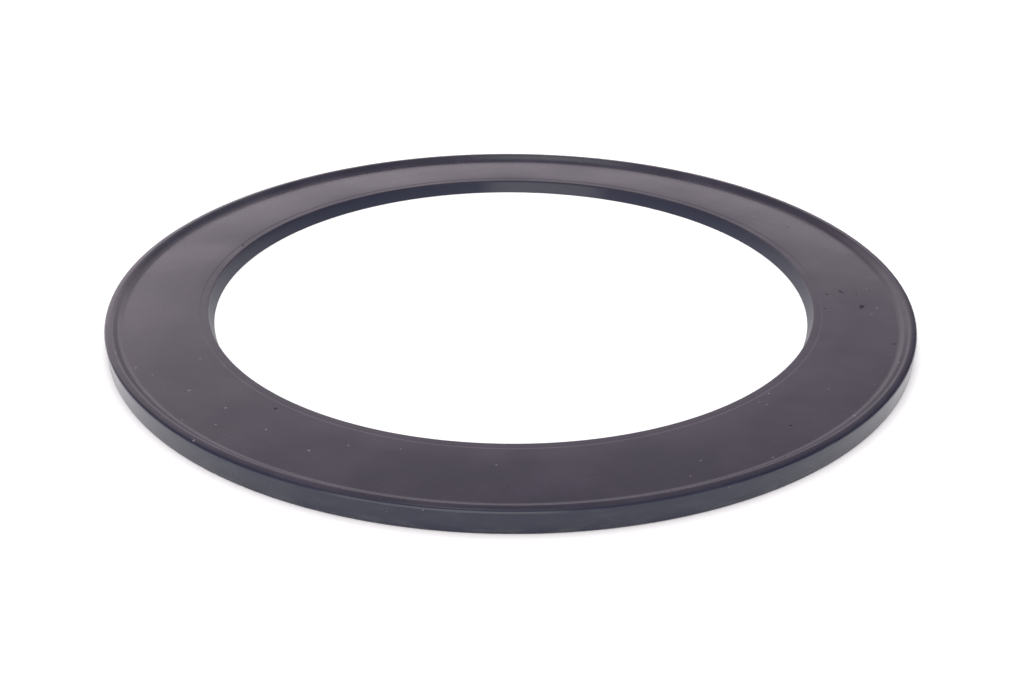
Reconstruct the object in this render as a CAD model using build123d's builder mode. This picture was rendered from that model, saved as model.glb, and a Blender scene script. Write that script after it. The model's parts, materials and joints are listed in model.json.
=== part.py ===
"""Lid gasket: one moulded rubber ring with a raised lip round its rim.

Millimetres, +Z up. The ring's axis is Z and its underside lies on Z = 0.
"""

import os

from build123d import *

# Diameters
rim_diameter = 145.0  # over the outer wall
bore_diameter = 110.0  # across the hole, at its straight wall

# Heights
web_thickness = 2.78  # underside to sealing face
lip_rise = 1.093  # sealing face up to the inner corner of the crest, before its round
crest_fall = 0.1  # that corner down to the outer one
roll_drop = 0.045  # sealing face down to the top of the step
step_drop = 0.06  # top of the step down to the land round the bore

# Radial widths
crest_width = 1.3  # outer wall in to the top of the lip's slope
slope_width = 1.05  # top of the slope in to its foot on the sealing face
land_width = 1.7  # bore wall out to the foot of the step
step_width = 0.3  # foot of the step out to its top
roll_width = 2.6  # top of the step out to the sealing face

# Rounds, each at one corner of the section
rim_round = 0.45  # crest to outer wall
crest_round = 0.7  # crest to slope
foot_round = 1.6  # slope to sealing face
roll_round = 30.0  # sealing face to roll
step_round = 0.4  # both edges of the step
bore_round = 0.3  # land to bore wall
base_round = 0.2  # both edges of the underside

# Places that follow from the sizes above
rim_radius = rim_diameter / 2
bore_radius = bore_diameter / 2
crest_height = web_thickness + lip_rise
crest_radius = rim_radius - crest_width
foot_radius = crest_radius - slope_width
step_foot_radius = bore_radius + land_width
step_top_radius = step_foot_radius + step_width
roll_radius = step_top_radius + roll_width
step_top_height = web_thickness - roll_drop
land_height = step_top_height - step_drop

# The section's corners, from the bore's lower edge round the outside and back
# over the top, each as (radius, height, round)
section = [
    (bore_radius, 0, base_round),
    (rim_radius, 0, base_round),
    (rim_radius, crest_height - crest_fall, rim_round),
    (crest_radius, crest_height, crest_round),
    (foot_radius, web_thickness, foot_round),
    (roll_radius, web_thickness, roll_round),
    (step_top_radius, step_top_height, step_round),
    (step_foot_radius, land_height, step_round),
    (bore_radius, land_height, bore_round),
]

with BuildPart() as gasket_ring:
    with BuildSketch(Plane.XZ):
        with BuildLine():
            FilletPolyline(
                [(radius, height) for radius, height, _ in section],
                radius=[corner_round for _, _, corner_round in section],
                close=True,
            )
        make_face()
    revolve(axis=Axis.Z)

gasket_ring.part.label = "gasket_ring"

os.makedirs("parts", exist_ok=True)
export_step(gasket_ring.part, "parts/gasket_ring.step")
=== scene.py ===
import json
import math

import bmesh
import bpy
from mathutils import Matrix, Vector


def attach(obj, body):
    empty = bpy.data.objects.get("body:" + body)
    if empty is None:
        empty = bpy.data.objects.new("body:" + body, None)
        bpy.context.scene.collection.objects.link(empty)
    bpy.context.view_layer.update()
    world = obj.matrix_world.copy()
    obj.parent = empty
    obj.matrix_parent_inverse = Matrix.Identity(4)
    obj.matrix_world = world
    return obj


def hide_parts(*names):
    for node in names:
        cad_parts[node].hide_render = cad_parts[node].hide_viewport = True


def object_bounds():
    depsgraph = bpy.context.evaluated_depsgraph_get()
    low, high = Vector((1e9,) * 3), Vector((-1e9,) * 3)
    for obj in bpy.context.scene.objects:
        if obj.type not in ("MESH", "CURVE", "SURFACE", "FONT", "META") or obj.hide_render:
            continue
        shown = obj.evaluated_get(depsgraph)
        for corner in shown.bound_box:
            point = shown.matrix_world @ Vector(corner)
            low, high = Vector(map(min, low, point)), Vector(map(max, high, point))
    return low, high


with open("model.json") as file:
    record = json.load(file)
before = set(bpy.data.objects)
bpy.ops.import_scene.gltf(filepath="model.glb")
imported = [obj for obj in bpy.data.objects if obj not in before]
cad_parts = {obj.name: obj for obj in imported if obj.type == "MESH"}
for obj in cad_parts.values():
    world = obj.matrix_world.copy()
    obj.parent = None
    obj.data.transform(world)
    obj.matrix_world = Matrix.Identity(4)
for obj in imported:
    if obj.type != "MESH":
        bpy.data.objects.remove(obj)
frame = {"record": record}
cadBox = [list(corner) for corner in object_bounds()]
mm = 0.001


class Signal:  # a node's output, which adds Math nodes as it is worked on
    def __init__(self, tree, socket=None):
        self.tree = tree
        self.socket = socket

    def node(self, kind, settings=None, inputs=None, output=0):
        made = self.tree.nodes.new(kind)
        for name, value in (settings or {}).items():
            if name == "stops":
                setStops(made.color_ramp, value)
            else:
                setattr(made, name, value)
        for name, value in (inputs or {}).items():
            if isinstance(value, Signal):
                self.tree.links.new(value.socket, made.inputs[name])
            else:
                made.inputs[name].default_value = value
        return Signal(self.tree, made.outputs[output] if made.outputs else None)

    def math(self, operation, *values):
        return self.node("ShaderNodeMath", {"operation": operation}, dict(enumerate(values)))

    def __add__(self, other):
        return self.math("ADD", self, other)

    def __sub__(self, other):
        return self.math("SUBTRACT", self, other)

    def __rsub__(self, other):
        return self.math("SUBTRACT", other, self)

    def __mul__(self, other):
        return self.math("MULTIPLY", self, other)

    __radd__ = __add__
    __rmul__ = __mul__


def setStops(ramp, stops):
    for place, _ in stops[len(ramp.elements):]:
        ramp.elements.new(place)
    for element, (place, colour) in zip(ramp.elements, stops):
        element.position = place
        element.color = (*colour, 1.0)


def newMaterial(name):
    material = bpy.data.materials.new(name)
    material.use_nodes = True
    material.node_tree.nodes.clear()
    return material, Signal(material.node_tree)


def deselectAll():
    if bpy.context.object and bpy.context.object.mode != "OBJECT":
        bpy.ops.object.mode_set(mode="OBJECT")
    bpy.ops.object.select_all(action="DESELECT")


mounts = {mount["name"]: mount for mount in frame["record"]["mounts"]}
ring = {
    "rimRadius": mounts["outer_rim"]["dims"]["r_mm"] * mm,
    "boreRadius": mounts["bore"]["dims"]["r_mm"] * mm,
    "boreDraft": 0.38 * mm,     # how far the wall's top stands out, and its foot in
    "faceHeight": mounts["sealing_face"]["pos_m"][2],
    "lipRise": 1.093 * mm,     # sealing face to the corner of the crest
    "crestFall": 0.1 * mm,     # crest down to the outer wall
    "rimRound": 0.5 * mm,
    "crestWidth": 1.3 * mm,
    "crestRound": 0.7 * mm,
    "slopeWidth": 1.05 * mm,
    "footRound": 1.3 * mm,
    "rollWidth": 2.6 * mm,
    "rollDrop": 0.045 * mm,
    "rollRound": 30.0 * mm,
    "flatMargin": 0.7 * mm,     # at each side of the face, kept clear of the pits so that it shades flat
    "stepWidth": 0.3 * mm,
    "stepDrop": 0.06 * mm,
    "stepRound": 0.4 * mm,
    "landWidth": 1.7 * mm,
    "boreRound": 0.3 * mm,
    "baseRound": 0.2 * mm,
    "steps": 720,
    "mergeGap": 0.001 * mm,
    "smoothAngle": math.radians(25),
}


def ringSection():
    # corners of the section as (radius, height, round, segments), from the bore's foot outwards;
    # one without a round only adds a loop to the flat face
    crest = ring["rimRadius"] - ring["crestWidth"]
    lipHeight = ring["faceHeight"] + ring["lipRise"]
    foot = crest - ring["slopeWidth"]
    stepFoot = ring["boreRadius"] + ring["landWidth"]
    stepTop = stepFoot + ring["stepWidth"]
    rollHeight = ring["faceHeight"] - ring["rollDrop"]
    landHeight = rollHeight - ring["stepDrop"]
    return [
        (ring["boreRadius"] - ring["boreDraft"], 0.0, ring["baseRound"] / 2, 4),
        (ring["rimRadius"], 0.0, ring["baseRound"], 4),
        (ring["rimRadius"], lipHeight - ring["crestFall"], ring["rimRound"], 9),
        (crest, lipHeight, ring["crestRound"], 6),
        (foot, ring["faceHeight"], ring["footRound"], 9),
        (foot - ring["flatMargin"], ring["faceHeight"], 0.0, 0),
        (stepTop + ring["rollWidth"] + ring["flatMargin"], ring["faceHeight"], 0.0, 0),
        (stepTop + ring["rollWidth"], ring["faceHeight"], ring["rollRound"], 5),
        (stepTop, rollHeight, ring["stepRound"], 4),
        (stepFoot, landHeight, ring["stepRound"], 4),
        (ring["boreRadius"] + ring["boreDraft"], landHeight, ring["boreRound"], 6),
    ]


def roundCorner(corners, number):
    # the set-back along each side that gives this round its radius
    here, before, after = (Vector(corners[i % len(corners)][:2]) for i in (number, number - 1, number + 1))
    turn = math.pi - (before - here).angle(after - here)
    return corners[number][2] * math.tan(turn / 2)


def makeRing():
    deselectAll()
    corners = ringSection()
    start = Vector((corners[0][0], 0, corners[0][1]))
    bpy.ops.mesh.primitive_plane_add(size=mm, location=start)
    body = bpy.context.object
    body.name = "gasketRing"
    bpy.ops.object.transform_apply(location=True)
    bpy.ops.object.mode_set(mode="EDIT")
    bpy.ops.mesh.merge(type="CENTER")
    for here, there in zip(corners, corners[1:]):
        step = (there[0] - here[0], 0, there[1] - here[1])
        bpy.ops.mesh.extrude_vertices_move(TRANSFORM_OT_translate={"value": step})
    bpy.ops.mesh.select_all(action="SELECT")
    bpy.ops.mesh.edge_face_add()
    for number, (radius, height, bend, segments) in enumerate(corners):
        if bend:
            selectNear(body, Vector((radius, 0, height)))
            bpy.ops.mesh.bevel(offset=roundCorner(corners, number), offset_type="OFFSET",
                               segments=segments, profile=0.5, affect="VERTICES", clamp_overlap=False)
    bpy.ops.mesh.select_all(action="SELECT")
    bpy.ops.mesh.delete(type="ONLY_FACE")
    bpy.ops.mesh.select_all(action="SELECT")
    bpy.ops.mesh.spin(steps=ring["steps"], angle=math.tau, center=(0, 0, 0), axis=(0, 0, 1))
    finishMesh(body)
    return body


def finishMesh(body):
    # no thin leftovers, doubles or turned faces, and smooth shading all over but at true edges
    bpy.ops.object.mode_set(mode="OBJECT")
    body.select_set(True)
    bpy.context.view_layer.objects.active = body
    bpy.ops.object.mode_set(mode="EDIT")
    bpy.ops.mesh.select_all(action="SELECT")
    bpy.ops.mesh.dissolve_degenerate(threshold=ring["mergeGap"])
    bpy.ops.mesh.select_all(action="SELECT")
    bpy.ops.mesh.remove_doubles(threshold=ring["mergeGap"])
    bpy.ops.mesh.normals_make_consistent(inside=False)
    bpy.ops.object.mode_set(mode="OBJECT")
    bpy.ops.object.shade_smooth_by_angle(angle=ring["smoothAngle"])


def selectNear(body, place, reach=0.02 * mm):
    bpy.ops.mesh.select_mode(type="VERT")
    bpy.ops.mesh.select_all(action="DESELECT")
    mesh = bmesh.from_edit_mesh(body.data)
    for vertex in mesh.verts:
        vertex.select = (vertex.co - place).length < reach
    mesh.select_flush(True)
    bmesh.update_edit_mesh(body.data)


marks = {
    # pits in the ring's top, each as (azimuth in degrees, radius in mm, width in mm);
    # those in the second row overlap the first ones, so they are cut after them
    "pits": [[(350, 64.0, 0.9), (355.5, 61.0, 0.6), (354, 58.4, 0.5), (348, 57.3, 0.45), (354.5, 63.7, 0.35),
              (338.5, 69.0, 0.5), (24.5, 64.3, 0.35), (164, 56.3, 0.7), (233, 58.3, 0.5), (309, 65.1, 0.4)],
             [(349.3, 63.7, 0.5), (355, 61.3, 0.45)]],
    "depth": 0.75,     # of a pit, as a part of its half width
    "lift": 0.04,     # of the ball that cuts it, as a part of its width, so that no corner lies in the face
}


def cutPits(body):
    for row in marks["pits"]:
        deselectAll()
        balls = []
        for azimuth, radius, width in row:
            turn = math.radians(azimuth)
            bpy.ops.mesh.primitive_ico_sphere_add(
                subdivisions=3, radius=width / 2 * mm, scale=(1, 1, marks["depth"]),
                location=(radius * mm * math.cos(turn), radius * mm * math.sin(turn),
                          ring["faceHeight"] + marks["lift"] * width * mm))
            balls.append(bpy.context.object)
        for ball in balls:
            ball.select_set(True)
        bpy.ops.object.join()
        cutter = bpy.context.object
        deselectAll()
        bpy.context.view_layer.objects.active = body
        bpy.ops.object.modifier_add(type="BOOLEAN")
        body.modifiers[-1].object = cutter
        bpy.ops.object.modifier_apply(modifier=body.modifiers[-1].name)
        cutter.select_set(True)
        bpy.ops.object.delete()
    finishMesh(body)


rubber = {
    "colour": (0.0185, 0.0185, 0.033, 1.0),
    "faded": (0.028, 0.026, 0.043, 1.0),     # where the colour has gone paler, in soft patches
    "wallColour": (0.016, 0.020, 0.044, 1.0),     # the two upright walls are bluer
    "film": (0.065, 0.070, 0.088, 1.0),     # dusty film and scuffs, and the colour of painted highlights and a painted floor reflection on the walls
    "dust": (0.34, 0.32, 0.34, 1.0),
    "roughness": 0.32,
    "boreRoughness": 0.45,
    "wallRoughness": 0.16,
    "innerZone": (56.0, 60.0),     # radii in mm between which the face turns from rough to plain
    "innerRise": 0.04,
    "outerZone": (60.5, 70.0),     # and from plain to smoother
    "outerRise": -0.06,
    "smearDepth": 0.2,
    "grainDepth": 0.04,
    "scratchDepth": 0.3,
    # paler film in azimuth windows, each as (azimuth, degrees to each side still full, degrees to where it is
    # gone, how thick on the bore wall, how thick on the lip); the one at 82 degrees is a painted highlight on
    # the bore wall and the lip, the one at 157 degrees a dusty haze on the lip
    "haze": [(82, 9, 17, 0.8, 0.25), (157, 8, 22, 0.0, 0.35)],
    "worn": (263, 9, 15),     # azimuth and reach of a painted highlight, a paler stretch along the outer wall's top
    "wornFrom": (3.2, 3.4),     # heights in mm between which that stretch starts
    "wornTo": (3.5, 3.65),     # and ends
    "footFilm": (0.25, 1.6),     # heights in mm between which a painted reflection of the floor, paler at the outer wall's foot, thins out
    "footFilmDepth": 0.45,
    "scuffDepth": 0.22,
    "dustDepth": 0.5,
    "bump": 0.012 * mm,
    # specks at known places, each as (azimuth in degrees, radius in mm, width in mm)
    "specks": [(350, 66.6, 0.45), (347.7, 65.5, 0.35), (333, 70.5, 0.5), (317, 70.0, 0.45), (326, 68.7, 0.3),
               (321, 63.6, 0.3), (311, 59.2, 0.35), (314, 57.4, 0.4), (302, 69.2, 0.35), (294, 65.2, 0.3),
               (227.5, 62.8, 0.45), (220, 64.3, 0.5), (212, 59.2, 0.4), (216, 56.7, 0.3), (210, 68.9, 0.4),
               (213, 67.2, 0.35), (230, 66.5, 0.4), (226, 69.1, 0.35), (198, 66.8, 0.3), (236, 62.9, 0.35),
               (244, 64.0, 0.45), (248, 60.6, 0.35), (206, 71.0, 0.35), (232, 71.9, 0.5), (255, 59.0, 0.3)],
}


def ramp(make, value, start, end, low=0.0, high=1.0):
    # low below start, high above end, and a soft rise between
    return make.node("ShaderNodeMapRange", {"interpolation_type": "SMOOTHSTEP"},
                     {"Value": value, "From Min": start, "From Max": end, "To Min": low, "To Max": high})


def noise(make, place, scale, detail=3.0, stretch=(1, 1, 1)):
    spread = make.node("ShaderNodeVectorMath", {"operation": "MULTIPLY"}, {0: place, 1: stretch})
    return make.node("ShaderNodeTexNoise", inputs={"Vector": spread, "Scale": scale, "Detail": detail})


def mixColour(make, amount, under, over):
    return make.node("ShaderNodeMix", {"data_type": "RGBA"}, {0: amount, 6: under, 7: over}, output=2)


def scatter(make, place, scale, widest):
    # round specks of all sizes up to `widest` mm, one at most to each cell
    cells = {"voronoi_dimensions": "2D", "feature": "F1"}
    gap = make.node("ShaderNodeTexVoronoi", cells, {"Vector": place, "Scale": scale}, output="Distance")
    tint = make.node("ShaderNodeTexVoronoi", cells, {"Vector": place, "Scale": scale}, output="Color")
    chance = make.node("ShaderNodeSeparateColor", inputs={"Color": tint})
    reach = (chance * 1.6 - 0.6) * (widest / 2 * mm * scale)
    return ramp(make, reach - gap, 0.0, 0.08 * mm * scale)


def placedSpecks(make, place):
    # the specks that lie on the face and the lip at known places, as one mask
    wobble = make.node("ShaderNodeTexNoise", inputs={"Vector": place, "Scale": 2500}, output="Color")
    shift = make.node("ShaderNodeVectorMath", {"operation": "MULTIPLY"},
                      {0: wobble, 1: (0.3 * mm, 0.3 * mm, 0)})
    ragged = make.node("ShaderNodeVectorMath", {"operation": "ADD"}, {0: place, 1: shift})
    mask = 0.0
    for azimuth, radius, width in rubber["specks"]:
        turn = math.radians(azimuth)
        centre = (radius * mm * math.cos(turn), radius * mm * math.sin(turn), 0.0)
        gap = make.node("ShaderNodeVectorMath", {"operation": "DISTANCE"},
                        {0: ragged, 1: centre}, output="Value")
        mask = make.math("MAXIMUM", mask, ramp(make, gap, 0.15 * width * mm, 0.55 * width * mm, 1.0, 0.0))
    return mask


def rubberFinish():
    material, make = newMaterial("mouldedRubber")
    place = make.node("ShaderNodeTexCoord", output="Object")
    across, along, height = (make.node("ShaderNodeSeparateXYZ", inputs={"Vector": place}, output=axis)
                             for axis in "XYZ")
    level = make.node("ShaderNodeCombineXYZ", inputs={"X": across, "Y": along})
    radius = make.node("ShaderNodeVectorMath", {"operation": "LENGTH"}, {0: level}, output="Value")
    bearing = make.node("ShaderNodeVectorMath", {"operation": "NORMALIZE"}, {0: level})
    girth = make.math("ARCTAN2", along, across) * ring["rimRadius"]
    unrolled = make.node("ShaderNodeCombineXYZ", inputs={"X": girth, "Y": height})

    # which part of the ring this is
    boreWall = ramp(make, radius, ring["boreRadius"] + 0.2 * mm, ring["boreRadius"] + 0.35 * mm, 1.0, 0.0)
    outerWall = ramp(make, radius, ring["rimRadius"] - 0.25 * mm, ring["rimRadius"] - 0.1 * mm)
    lip = ramp(make, radius, ring["rimRadius"] - 3.2 * mm, ring["rimRadius"] - 2.2 * mm)
    step = ramp(make, radius, ring["boreRadius"] + 2.2 * mm, ring["boreRadius"] + 3.2 * mm, 1.0, 0.0)

    # rough by the bore, smoother towards the lip and smoothest on the outer wall
    grain = noise(make, place, 700, 1.0) - 0.5
    smear = noise(make, place, 85, 3.0, (0.5, 1, 1)) - 0.5
    inner, outer = rubber["innerZone"], rubber["outerZone"]
    rough = rubber["roughness"]
    rough = ramp(make, radius, inner[0] * mm, inner[1] * mm, rough + rubber["innerRise"], rough)
    rough = rough + ramp(make, radius, outer[0] * mm, outer[1] * mm, 0.0, rubber["outerRise"])
    rough = rough + smear * rubber["smearDepth"] + grain * rubber["grainDepth"]
    rough = rough + (rubber["boreRoughness"] - rough) * boreWall
    scratches = noise(make, unrolled, 420, 5.0, (0.5, 1.6, 1)) - 0.5
    scratched = rubber["wallRoughness"] + scratches * rubber["scratchDepth"]
    rough = rough + (scratched - rough) * outerWall

    # paler patches, then film, scuffs, painted highlights, a painted floor reflection and dust over the
    # rubber's own colour
    patches = noise(make, place, 120, 4.0)
    onTop = 1.0 - make.math("MAXIMUM", outerWall, boreWall)
    colour = mixColour(make, ramp(make, patches, 0.35, 0.7), rubber["colour"], rubber["faded"])
    colour = mixColour(make, onTop, rubber["wallColour"], colour)
    # painted highlight at 82 degrees on the bore wall and the lip, and a paler haze at 157 degrees on the lip
    haze = 0.0
    for azimuth, full, gone, onBore, onLip in rubber["haze"]:
        spread = boreWall * onBore + lip * onLip
        haze = haze + fadeOut(make, bearing, aimed(azimuth, 0), full, gone) * spread
    # painted reflection of the floor: paler towards the outer wall's foot
    low, high = rubber["footFilm"]
    foot = ramp(make, height, low * mm, high * mm, rubber["footFilmDepth"], 0.0)
    # painted highlight: a paler stretch along the outer wall's top at the front
    low, high = rubber["wornFrom"]
    brow = ramp(make, height, low * mm, high * mm)
    low, high = rubber["wornTo"]
    brow = brow * ramp(make, height, low * mm, high * mm, 1.0, 0.0)
    azimuth, full, gone = rubber["worn"]
    worn = fadeOut(make, bearing, aimed(azimuth, 0), full, gone) * brow
    scuffs = ramp(make, scratches, -0.05, 0.22) * rubber["scuffDepth"]
    film = haze + (scuffs + foot * ramp(make, scratches, -0.1, 0.1) + worn) * outerWall
    colour = mixColour(make, make.math("MINIMUM", film, 1.0), colour, rubber["film"])
    flecks = scatter(make, place, 75, 0.4) * onTop
    chips = scatter(make, unrolled, 240, 0.3) * (outerWall * 0.8)
    dust = make.math("MAXIMUM", placedSpecks(make, level), make.math("MAXIMUM", flecks, chips))
    colour = mixColour(make, dust * rubber["dustDepth"], colour, rubber["dust"])

    # a faint unevenness, stronger on the lip, the step and the outer wall
    swell = noise(make, place, 420, 2.0) * ((lip + step) * 0.8 + 0.15)
    relief = swell + grain * 0.25 + scratches * (outerWall * 0.8)
    bump = make.node("ShaderNodeBump", inputs={"Strength": 1.0, "Distance": rubber["bump"], "Height": relief})
    shader = make.node("ShaderNodeBsdfPrincipled", inputs={
        "Base Color": colour,
        "Roughness": rough,
        "Normal": bump,
        "IOR": 1.5,
    })
    make.node("ShaderNodeOutputMaterial", inputs={"Surface": shader})
    return material


floorFinish = {
    "colour": (0.93, 0.93, 0.93, 1.0),
    "lift": 0.12,     # how much whiter the floor looks than the light it gives back
    "size": 6.0,
}


def makeFloor():
    deselectAll()
    bpy.ops.mesh.primitive_plane_add(size=floorFinish["size"], location=(0, 0, cadBox[0][2]))
    floor = bpy.context.object
    floor.name = "floor"
    material, make = newMaterial("paleFloor")
    matt = make.node("ShaderNodeBsdfDiffuse", inputs={"Color": floorFinish["colour"]})
    rays = [make.node("ShaderNodeLightPath", output="Is %s Ray" % kind)
            for kind in ("Camera", "Glossy", "Transmission")]
    seen = rays[0] + rays[1] + rays[2]
    glow = make.node("ShaderNodeEmission", inputs={"Strength": seen * floorFinish["lift"]})
    both = make.node("ShaderNodeAddShader", inputs={0: matt, 1: glow})
    make.node("ShaderNodeOutputMaterial", inputs={"Surface": both})
    floor.data.materials.append(material)


def makeBackground():
    world = bpy.data.worlds.new("studio")
    bpy.context.scene.world = world
    world.use_nodes = True
    world.node_tree.nodes.clear()
    make = Signal(world.node_tree)
    white = make.node("ShaderNodeBackground", inputs={"Color": (1.0, 1.0, 1.0, 1.0), "Strength": 1.0})
    make.node("ShaderNodeOutputWorld", inputs={"Surface": white})


tent = {
    "radius": 2.5,
    "segments": 96,
    "rings": 48,
    "sunk": 0.001,     # how far the dome's edge lies below the floor
    # light by the sine of the height above the floor: behind the ring, on the camera's side, elsewhere
    "behind": [(0.0, (0.57, 0.50, 0.53)), (0.17, (0.86, 0.76, 0.82)), (0.28, (1.45, 1.31, 1.40)),
               (0.36, (1.45, 1.31, 1.40)), (0.42, (1.27, 1.08, 1.14)), (0.515, (0.98, 0.83, 0.87)),
               (0.57, (0.80, 0.68, 0.71)), (0.64, (0.47, 0.40, 0.425)), (0.9, (0.46, 0.40, 0.42)),
               (1.0, (0.50, 0.46, 0.48))],
    "card": [(0.0, (0.68, 0.60, 0.62)), (0.6, (0.48, 0.43, 0.45)), (0.8, (0.36, 0.33, 0.35)),
             (0.9, (0.86, 0.80, 0.84)), (0.97, (0.80, 0.74, 0.78)), (1.0, (0.50, 0.46, 0.48))],
    "elsewhere": [(0.0, (0.45, 0.40, 0.42)), (0.17, (0.28, 0.25, 0.26)), (0.3, (0.21, 0.19, 0.20)),
                  (0.6, (0.24, 0.22, 0.24)), (0.8, (0.55, 0.50, 0.55)), (1.0, (0.50, 0.46, 0.48))],
    "cardAzimuth": 268.0,
    "cardReach": (40.0, 65.0),
    "behindAzimuth": 103.0,
    "behindReach": (32.0, 47.0),     # degrees to each side: still full, and all gone, as in cardReach
    "side": 0.32,     # how much brighter the left is than the right
    # soft round patches on the tent: a darker one, and two that add white light
    "dim": {"azimuth": 60.0, "height": 9.0, "spread": 14.0, "strength": 0.35},
    "overhead": {"azimuth": 235.0, "height": 78.5, "spread": 15.0, "strength": 1.3},
    "low": {"azimuth": 262.0, "height": 8.0, "spread": 22.0, "strength": 1.0},
}
lamp = {
    "height": 0.9,
    "size": 1.0,
    "power": 7.2,
}


def aimed(azimuth, height):
    side, up = math.radians(azimuth), math.radians(height)
    return math.cos(side) * math.cos(up), math.sin(side) * math.cos(up), math.sin(up)


def fadeOut(make, direction, aim, full, gone):
    # 1 within `full` degrees of the aim, falling softly to 0 at `gone` degrees
    facing = make.node("ShaderNodeVectorMath", {"operation": "DOT_PRODUCT"},
                       {0: direction, 1: aim}, output="Value")
    return make.node("ShaderNodeMapRange", {"interpolation_type": "SMOOTHSTEP"},
                     {"Value": facing, "From Min": math.cos(math.radians(gone)),
                      "From Max": math.cos(math.radians(full))})


def patch(make, direction, spot):
    # a soft round patch on the tent
    aim = aimed(spot["azimuth"], spot["height"])
    return fadeOut(make, direction, aim, spot["spread"] / 3, spot["spread"]) * spot["strength"]


def makeTent():
    deselectAll()
    bpy.ops.mesh.primitive_uv_sphere_add(segments=tent["segments"], ring_count=tent["rings"],
                                         radius=tent["radius"])
    dome = bpy.context.object
    dome.name = "lightTent"
    bpy.ops.object.mode_set(mode="EDIT")
    bpy.ops.mesh.select_all(action="SELECT")
    bpy.ops.mesh.bisect(plane_co=(0, 0, -tent["sunk"]), plane_no=(0, 0, 1), clear_inner=True)
    bpy.ops.mesh.select_all(action="SELECT")
    bpy.ops.mesh.flip_normals()
    bpy.ops.object.mode_set(mode="OBJECT")
    bpy.ops.object.shade_smooth()
    dome.visible_camera = False
    material, make = newMaterial("lightTent")
    place = make.node("ShaderNodeTexCoord", output="Object")
    direction = make.node("ShaderNodeVectorMath", {"operation": "NORMALIZE"}, {0: place})
    across, height = (make.node("ShaderNodeSeparateXYZ", inputs={"Vector": direction}, output=axis)
                      for axis in "XZ")
    level = make.node("ShaderNodeVectorMath", {"operation": "MULTIPLY"}, {0: direction, 1: (1, 1, 0)})
    bearing = make.node("ShaderNodeVectorMath", {"operation": "NORMALIZE"}, {0: level})
    turn = fadeOut(make, bearing, aimed(tent["behindAzimuth"], 0), *tent["behindReach"])
    behind = make.node("ShaderNodeValToRGB", {"stops": tent["behind"]}, {"Fac": height})
    elsewhere = make.node("ShaderNodeValToRGB", {"stops": tent["elsewhere"]}, {"Fac": height})
    shade = mixColour(make, turn, elsewhere, behind)
    carded = make.node("ShaderNodeValToRGB", {"stops": tent["card"]}, {"Fac": height})
    front = fadeOut(make, bearing, aimed(tent["cardAzimuth"], 0), *tent["cardReach"])
    shade = mixColour(make, front, shade, carded)
    strength = (1.0 - across * tent["side"]) * (1.0 - patch(make, direction, tent["dim"]))
    even = make.node("ShaderNodeEmission", inputs={"Color": shade, "Strength": strength})
    extra = patch(make, direction, tent["overhead"]) + patch(make, direction, tent["low"])
    spots = make.node("ShaderNodeEmission", inputs={"Strength": extra})
    both = make.node("ShaderNodeAddShader", inputs={0: even, 1: spots})
    make.node("ShaderNodeOutputMaterial", inputs={"Surface": both})
    dome.data.materials.append(material)


def makeLamp():
    deselectAll()
    bpy.ops.object.light_add(type="AREA", location=(0, 0, lamp["height"]))
    light = bpy.context.object
    light.name = "overheadLamp"
    light.data.shape = "DISK"
    light.data.size = lamp["size"]
    light.data.energy = lamp["power"]
    light.visible_glossy = False
    light.visible_camera = False


view = {
    "lens": 36.669,
    "clipStart": 0.005,
    "distance": 2.7375,     # in rim radii, from the ring's centre on the floor
    "elevation": 25.484,
    "pan": 0.065,
    "tilt": -2.711,
    "roll": 0.288,
}


def makeCamera():
    deselectAll()
    away = ring["rimRadius"] * view["distance"]
    up = math.radians(view["elevation"])
    turn = Matrix.Rotation(math.pi / 2 - up, 3, "X")
    turn = turn @ Matrix.Rotation(-math.radians(view["pan"]), 3, "Y")
    turn = turn @ Matrix.Rotation(math.radians(view["tilt"]), 3, "X")
    turn = turn @ Matrix.Rotation(math.radians(view["roll"]), 3, "Z")
    bpy.ops.object.camera_add(location=(0, -away * math.cos(up), away * math.sin(up)),
                              rotation=turn.to_euler())
    camera = bpy.context.object
    camera.data.lens = view["lens"]
    camera.data.clip_start = view["clipStart"]
    bpy.context.scene.camera = camera


print("modelling the ring")
body = makeRing()
print("cutting the pits")
cutPits(body)
body.data.materials.append(rubberFinish())
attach(body, "root")
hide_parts("gasket_ring")
print("setting the stage")
makeFloor()
makeBackground()
makeTent()
makeLamp()
makeCamera()
bpy.context.scene.view_settings.view_transform = "Standard"
